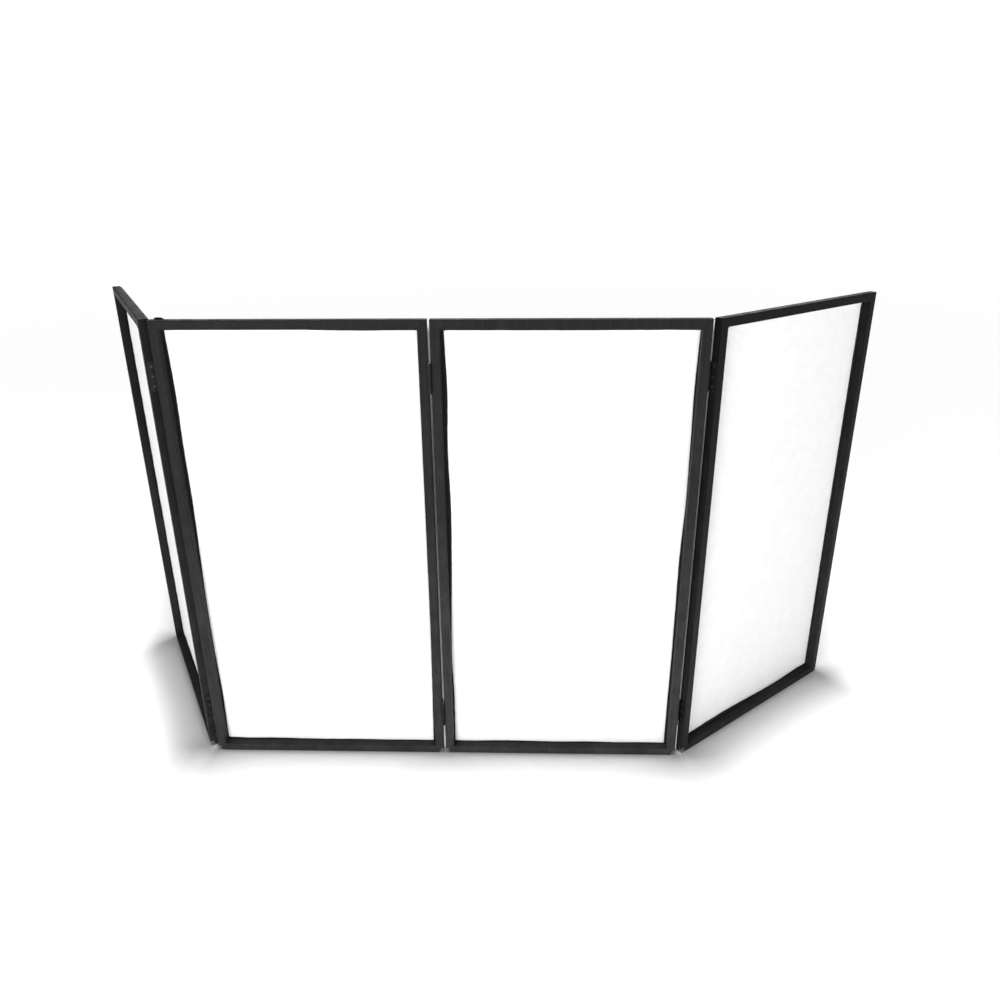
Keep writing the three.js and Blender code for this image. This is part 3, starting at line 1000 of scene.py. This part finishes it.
def screw_mesh(leaf):
    """A countersunk screw with a cross recess and a real helical thread, its head flush in the leaf."""
    head = leaf.plate_in + SCREW_SUNK
    neck = leaf.plate_out + SCREW_NECK
    profile = [
        (head, SCREW_HEAD_RADIUS - SCREW_HEAD_CHAMFER),
        (head + SCREW_HEAD_EDGE, SCREW_HEAD_RADIUS),
        (leaf.plate_out, SCREW_HEAD_RADIUS - COUNTERSINK_SLOPE * LEAF_THICKNESS),
        (neck, SCREW_CORE),
    ]
    rings = [[Vector((x, a, b)) for a, b in circle(radius)] for x, radius in profile]
    count = round((SCREW_LENGTH - (neck - head)) / THREAD_PITCH * RINGS_PER_TURN)
    for step in range(1, count + 1):
        rings.append(thread_ring(neck, step, count))
    body = Shape()
    body.loft(rings)
    recess = Shape()
    above, below = head - RECESS_DEPTH / 2, head + RECESS_DEPTH
    recess.loft([cross_outline(above, *RECESS_TOP), cross_outline(below, *RECESS_BOTTOM)])
    return carved("screw", body.mesh("screw_body"), [("DIFFERENCE", recess.mesh("recess"))])


def thread_ring(neck, step, count):
    """A ring of the screw's thread, the step-th of count: its ridge turns as the rings go on."""
    x = neck + step / RINGS_PER_TURN * THREAD_PITCH
    core = SCREW_CORE * min(1.0, SCREW_POINT + (1 - SCREW_POINT) * (count - step) / SCREW_POINT_RINGS)
    height = THREAD_HEIGHT * min(1.0, step / THREAD_START_RINGS, (count - step) / THREAD_END_RINGS)
    ring = []
    for i in range(ROUND_SIDES):
        turn = i / ROUND_SIDES * math.tau
        ridge = max(0.0, math.cos(turn + step / RINGS_PER_TURN * math.tau)) ** 2
        radius = core + height * ridge
        ring.append(Vector((x, radius * math.cos(turn), radius * math.sin(turn))))
    return ring


def cross_outline(x, arm, half_width):
    """The outline of a cross with four arms."""
    outline = []
    for quarter in range(4):
        turn = Matrix.Rotation(quarter * math.pi / 2, 3, "X")
        for y, z in ((half_width, half_width), (half_width, arm), (-half_width, arm)):
            outline.append(turn @ Vector((x, y, z)))
    return outline


def joined(name, meshes):
    """One mesh of several."""
    work = bmesh.new()
    for mesh in meshes:
        work.from_mesh(mesh)
    made = bpy.data.meshes.new(name)
    work.to_mesh(made)
    work.free()
    return made


def pin_mesh(leaf, node):
    """A turned pin with a domed head."""
    low, high = leaf.panel.box_of(node)
    axis = leaf.matrix.translation
    top = high[2] - axis.z
    tip = low[2] - axis.z
    head_radius = (high[0] - low[0]) / 2
    radius = PIN_BORE - PIN_CLEARANCE
    seat = top - PIN_HEAD
    profile = [(tip + rise, radius * share) for rise, share in PIN_TIP]
    profile += [(seat, radius), (seat, head_radius - PIN_HEAD_CHAMFER)]
    profile += [(seat + PIN_HEAD_CHAMFER, head_radius)]
    for step in range(PIN_DOME_STEPS):
        turn = step / PIN_DOME_STEPS * math.pi / 2
        height = seat + PIN_HEAD_EDGE + (PIN_HEAD - PIN_HEAD_EDGE) * math.sin(turn)
        profile.append((height, head_radius * (PIN_HEAD_FLAT + (1 - PIN_HEAD_FLAT) * math.cos(turn))))
    profile.append((top, head_radius * PIN_HEAD_FLAT))
    shape = Shape()
    shape.loft([[axis + Vector((a, b, z)) for a, b in circle(r)] for z, r in profile])
    return shape.mesh(node)


def make_hinges(paint, steel, screw_steel):
    """Both hinges of every joint: leaves with their screws on both panels, and the pin on the left one."""
    leaf_shapes = {}
    screw = None
    for joint in JOINTS:
        for level in ("upper", "lower"):
            for side in ("left", "right"):
                leaf = Leaf(joint, level, side)
                if side not in leaf_shapes:
                    leaf_shapes[side] = leaf_mesh(leaf)
                if screw is None:
                    screw = screw_mesh(leaf)
                mesh = leaf.to_panel(leaf_shapes[side])
                name = f"{leaf.node}_pressed"
                made = piece(name, mesh, leaf.panel, paint, [leaf.node], sharp=40)
                weigh_normals(made)
                name = f"{leaf.node}_screws"
                mesh = leaf.to_panel(placed_screws(name, screw, leaf))
                piece(name, mesh, leaf.panel, screw_steel, sharp=40)
                if side == "left":
                    node = f"{joint}_{level}_hinge_pin"
                    piece(f"{node}_turned", pin_mesh(leaf, node), leaf.panel, steel, [node])


def placed_screws(name, screw, leaf):
    """One mesh of a leaf's screws, each turned its own way."""
    screws = []
    for turn, height in zip(SCREW_TURNS, leaf.screw_heights):
        placed = screw.copy()
        placed.transform(Matrix.Rotation(turn, 4, "X"))
        placed.transform(Matrix.Translation((0, leaf.screw_y, height)))
        screws.append(placed)
    return joined(name, screws)


# -------- camera, floor and light

# The camera's turn to the left, down and round its own axis, in degrees, and its place from the middle
# joint in X, from the panels' front in Y and from the floor in Z
CAMERA_YAW = -1.61
CAMERA_PITCH = 20.63
CAMERA_ROLL = -0.45
CAMERA_PLACE = (0.2066, -1.695, 1.5081)
CAMERA_LENS = 27.55
CAMERA_SENSOR = 36
CAMERA_SHIFT = -0.0408

FLOOR_SIZE = 60
FLOOR_BELOW = 0.0002
FLOOR_LIGHT = 0.97
WORLD_SEEN = 1.0
WORLD_LIGHT = 0.08
OVERHEAD = Vector((-0.05, 0.71, 14.0))
OVERHEAD_FOOT = Vector((OVERHEAD.x, OVERHEAD.y, 0))
# Each lamp: its place, the point that it faces, its power in watts and its size.
LAMPS = {
    "overhead": (OVERHEAD, OVERHEAD_FOOT, 2000, (0.8, 1.97)),
    "front_left": (Vector((-1.7, -4.0, 1.0)), Vector((0, 0, 0.7)), 125, (1.8, 1.2)),
    "front_right": (Vector((2.0, -3.8, 1.0)), Vector((0, 0, 0.7)), 52, (1.8, 1.2)),
    "behind": (Vector((0.0, 4.2, 1.6)), Vector((0, 0, 0.6)), 118, (6.0, 1.6)),
}
FLAG_HEIGHT = 2.4
# The outline of the flag's shadow on the floor, which runs along the screen's foot and out behind it.
FLAG_SHADOW = (
    (-1.05, 0.23), (-0.70, -0.31), (0.55, -0.31), (1.05, 0.07), (1.35, 1.2),
    (1.75, 2.8), (2.6, 5.9), (-1.5, 5.9), (-1.4, 1.2),
)


def make_camera():
    """At a standing person's eye, right of the middle joint, looking down on the screen."""
    yaw, pitch, roll = (math.radians(angle) for angle in (CAMERA_YAW, CAMERA_PITCH, CAMERA_ROLL))
    ahead = Vector((math.sin(yaw) * math.cos(pitch), math.cos(yaw) * math.cos(pitch), -math.sin(pitch)))
    right = Vector((math.cos(yaw), -math.sin(yaw), 0))
    up = right.cross(ahead)
    rolled_right = math.cos(roll) * right + math.sin(roll) * up
    rolled_up = math.cos(roll) * up - math.sin(roll) * right
    data = bpy.data.cameras.new("camera")
    data.sensor_width = CAMERA_SENSOR
    data.lens = CAMERA_LENS
    data.shift_y = CAMERA_SHIFT
    camera = bpy.data.objects.new("camera", data)
    bpy.context.scene.collection.objects.link(camera)
    turn = Matrix((rolled_right, rolled_up, -ahead)).transposed()
    panel_front = PANEL["left_center"].matrix.translation.y
    place = Vector((joint_place("center_fold").x, panel_front, 0)) + Vector(CAMERA_PLACE)
    camera.matrix_world = Matrix.Translation(place) @ turn.to_4x4()
    bpy.context.scene.camera = camera


def make_floor():
    """Pale paper that glows a little far from the lamp, so that it is evenly pale all over."""
    n = Nodes("floor_paper")
    grain = n.noise(n.place, 60.0, 3.0, 0.6)
    colour = n.mix(grain, grey(0.86), grey(0.9))
    run = n.math("DIVIDE", n.distance(OVERHEAD_FOOT), OVERHEAD.z)
    spread = n.math("ADD", n.math("MULTIPLY", run, run), 1.0)
    lit = n.math("DIVIDE", 1.0, n.math("MULTIPLY", spread, spread))
    glow = n.mix(lit, grey(FLOOR_LIGHT), grey(0.0))
    material = n.finish(Base_Color=colour, Roughness=0.9, Emission_Color=glow, Emission_Strength=1.0)
    bpy.ops.mesh.primitive_plane_add(size=FLOOR_SIZE, location=(0, 0, -FLOOR_BELOW))
    floor = bpy.context.object
    floor.name = "floor"
    floor.data.materials.append(material)


def make_light():
    """A lamp high overhead throws short soft shadows outwards, softboxes at the front light the cloths, and
    a lamp behind, which lights only the screen, gives the tubes' top faces their sheen."""
    for name, (place, aim, power, (width, height)) in LAMPS.items():
        data = bpy.data.lights.new(name, "AREA")
        data.energy = power
        data.shape = "RECTANGLE"
        data.size = width
        data.size_y = height
        light = bpy.data.objects.new(name, data)
        light.location = place
        light.rotation_euler = (aim - place).to_track_quat("-Z", "Y").to_euler()
        light.visible_camera = False
        bpy.context.scene.collection.objects.link(light)
        if name == "behind":
            light.light_linking.receiver_collection = SCREEN


def make_world():
    """White where the camera sees it, and dim as a light."""
    world = bpy.data.worlds.new("studio")
    bpy.context.scene.world = world
    world.use_nodes = True
    tree = world.node_tree
    tree.nodes.clear()
    path = tree.nodes.new("ShaderNodeLightPath")
    mix = tree.nodes.new("ShaderNodeMixShader")
    tree.links.new(path.outputs["Is Camera Ray"], mix.inputs[0])
    for socket, strength in ((1, WORLD_LIGHT), (2, WORLD_SEEN)):
        background = tree.nodes.new("ShaderNodeBackground")
        background.inputs["Color"].default_value = (1, 1, 1, 1)
        background.inputs["Strength"].default_value = strength
        tree.links.new(background.outputs[0], mix.inputs[socket])
    out = tree.nodes.new("ShaderNodeOutputWorld")
    tree.links.new(mix.outputs[0], out.inputs["Surface"])
    bpy.context.scene.view_settings.view_transform = "Standard"


def make_flag():
    """A flag overhead keeps the lamp off the floor behind the screen. The camera doesn't see it."""
    share = (OVERHEAD.z - FLAG_HEIGHT) / OVERHEAD.z
    points = [OVERHEAD.lerp(Vector((x, y, 0)), share) for x, y in FLAG_SHADOW]
    mesh = bpy.data.meshes.new("flag")
    mesh.from_pydata([(p.x, p.y, FLAG_HEIGHT) for p in points], [], [tuple(range(len(points)))])
    flag = bpy.data.objects.new("flag", mesh)
    mesh.materials.append(Nodes("flag_felt").finish(Base_Color=grey(0.02), Roughness=1.0))
    bpy.context.scene.collection.objects.link(flag)
    flag.visible_camera = False
    flag.visible_diffuse = False
    flag.visible_glossy = False


PANEL = {name: Panel(name) for name in PANELS}

make_camera()
make_floor()
make_world()
make_light()
make_flag()

for panel in PANEL.values():
    paint = paint_material(panel)
    make_tubes(panel, paint)
    make_welds(panel, paint)

knit = cloth_material()
loop_nap = loop_material()
hooks = hook_material()
thread = thread_material()
for panel in PANEL.values():
    make_hook_tapes(panel, hooks)
    band = make_band(panel, loop_nap)
    cloth, cut_size = make_cloth(panel, knit)
    stitching = make_stitching(panel, thread)

pin_steel = steel_material("pin_steel", 0.12, 0.35)
screw_steel = steel_material("screw_steel", 0.06, 0.42)
make_hinges(hinge_material(), pin_steel, screw_steel)
